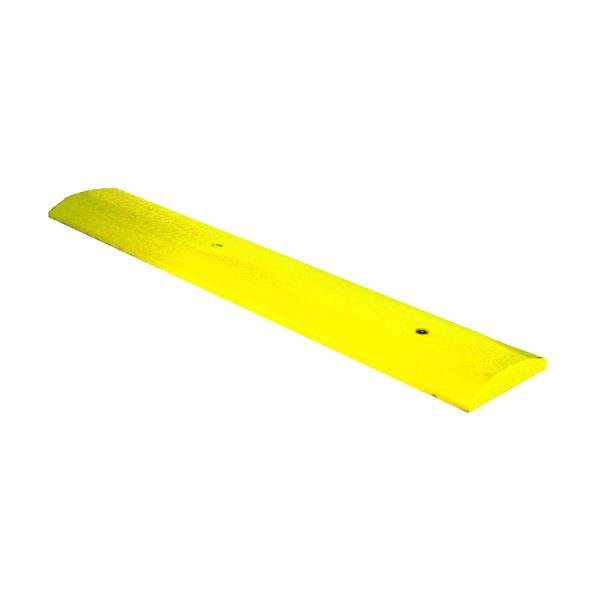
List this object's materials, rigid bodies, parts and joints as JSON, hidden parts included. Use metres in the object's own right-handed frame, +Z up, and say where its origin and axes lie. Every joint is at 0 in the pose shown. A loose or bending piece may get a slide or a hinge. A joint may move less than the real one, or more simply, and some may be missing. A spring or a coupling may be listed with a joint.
{
  "type": "speed bump",
  "caption": "Bolt-down speed bump: a solid yellow plastic bar with lipped edges, straight ramps, a crowned top and square ends, held by lag bolts and washers in recessed holes.",
  "frame": {"origin": "Middle of the bar's underside, on the road.", "axes": "X along the bar, towards the end with the nearer bolt hole; -Y towards the long edge that the hole row lies nearer to; Z up from the road."},
  "size_m": [1.2192, 0.254, 0.0978],
  "materials": {
    "yellow_plastic": "satin",
    "zinc_steel": "satin"
  },
  "bodies": {
    "bump": {"bump_bar": "yellow_plastic"},
    "end_washer": {"end_washer": "zinc_steel"},
    "middle_washer": {"middle_washer": "zinc_steel"},
    "end_bolt": {"end_lag_bolt": "zinc_steel"},
    "middle_bolt": {"middle_lag_bolt": "zinc_steel"}
  },
  "joints": [
    {"name": "end_lift", "type": "slide", "parent": "bump", "child": "end_washer", "axis": [0, 0, 1], "range_m": [0, 0.112]},
    {"name": "end_turn", "type": "hinge", "parent": "end_washer", "child": "end_bolt", "pos_m": [0.4296, -0.017, 0.04195], "axis": [0, 0, 1], "continuous": true},
    {"name": "middle_lift", "type": "slide", "parent": "bump", "child": "middle_washer", "axis": [0, 0, 1], "range_m": [0, 0.112]},
    {"name": "middle_turn", "type": "hinge", "parent": "middle_washer", "child": "middle_bolt", "pos_m": [-0.1204, -0.017, 0.04195], "axis": [0, 0, 1], "continuous": true}
  ]
}
